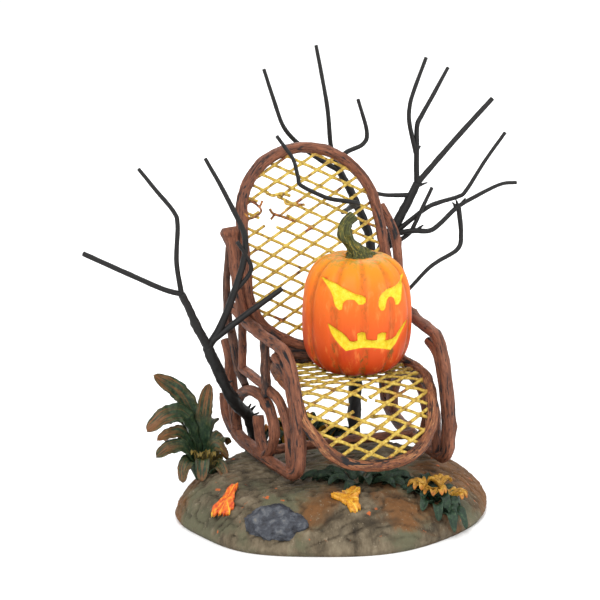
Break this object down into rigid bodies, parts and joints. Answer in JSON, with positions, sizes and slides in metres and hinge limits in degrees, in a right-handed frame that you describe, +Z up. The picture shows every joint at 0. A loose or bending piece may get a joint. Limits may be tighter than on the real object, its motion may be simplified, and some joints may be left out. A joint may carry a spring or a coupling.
{
  "type": "decorative rocking chair figurine",
  "caption": "Bentwood rocking chair with lattice seat and back, holding a carved pumpkin, on a painted ground mound between bare wire trees.",
  "frame": {"origin": "on the flat underside of the mound, below the middle of the seat", "axes": "+Z up, the chair faces -Y, +X to the viewer's right"},
  "size_m": [0.1572, 0.096, 0.1387],
  "materials": {
    "ground_paint": "matte hand-painted resin earth",
    "stone_paint": "matte painted resin stone",
    "orange_leaf_paint": "matte painted resin leaf",
    "yellow_leaf_paint": "matte painted resin leaf",
    "plant_paint": "satin painted resin leaves with brown edges",
    "bark_paint": "matte painted resin bough with black streaks",
    "dark_bark_paint": "matte dark painted resin bough",
    "straw_paint": "yellow painted wire mesh, brown at the rims",
    "pumpkin_paint": "satin painted resin",
    "stem_paint": "matte painted resin stem",
    "black_wire": "matte black coated steel wire"
  },
  "bodies": {
    "ground": {"mound": "ground_paint", "stone": "stone_paint", "orange_leaf": "orange_leaf_paint", "yellow_leaf": "yellow_leaf_paint", "broad_plant": "plant_paint", "low_plant": "plant_paint", "flower_plant": "plant_paint", "rear_plant": "plant_paint", "left_trunk": "black_wire", "left_limb": "black_wire", "low_twig": "black_wire", "high_twig": "black_wire", "inner_limb": "black_wire", "inner_twig": "black_wire", "straight_twig": "black_wire", "rear_trunk": "black_wire", "rear_left_limb": "black_wire", "rear_top_twig": "black_wire", "rear_mid_twig": "black_wire", "rear_outer_twig": "black_wire", "lattice_twig": "black_wire", "rear_right_limb": "black_wire", "rear_tall_twig": "black_wire", "rear_second_twig": "black_wire", "rear_straight_twig": "black_wire", "rear_side_twig": "black_wire", "right_high_twig": "black_wire", "right_long_twig": "black_wire", "right_drop_twig": "black_wire", "right_short_twig": "black_wire"},
    "chair": {"left_arm_leg": "bark_paint", "right_arm_leg": "bark_paint", "left_inner_bough": "bark_paint", "right_inner_bough": "bark_paint", "left_runner": "bark_paint", "right_runner": "bark_paint", "left_rear_leg": "bark_paint", "right_rear_leg": "bark_paint", "left_seat_rail": "bark_paint", "right_seat_rail": "bark_paint", "left_loop": "bark_paint", "right_loop": "bark_paint", "left_rear_spindle": "bark_paint", "right_rear_spindle": "bark_paint", "left_cross_bough": "dark_bark_paint", "left_front_spindle": "dark_bark_paint", "left_stub": "bark_paint", "back_arch": "bark_paint", "back_lattice": "straw_paint", "left_post": "bark_paint", "right_post": "bark_paint", "thin_post": "dark_bark_paint", "back_foot": "dark_bark_paint", "seat_rim": "bark_paint", "seat_rear_rail": "dark_bark_paint", "seat_lattice": "straw_paint", "low_stretcher": "bark_paint", "pumpkin": "pumpkin_paint", "stem": "stem_paint"}
  },
  "joints": [
    {"name": "rock", "type": "hinge", "parent": "ground", "child": "chair", "pos_m": [0.002, 0.002, 0.01705], "axis": [1, 0, 0], "range_deg": [-3, 3], "stiffness_Nm_per_rad": 0.12}
  ]
}
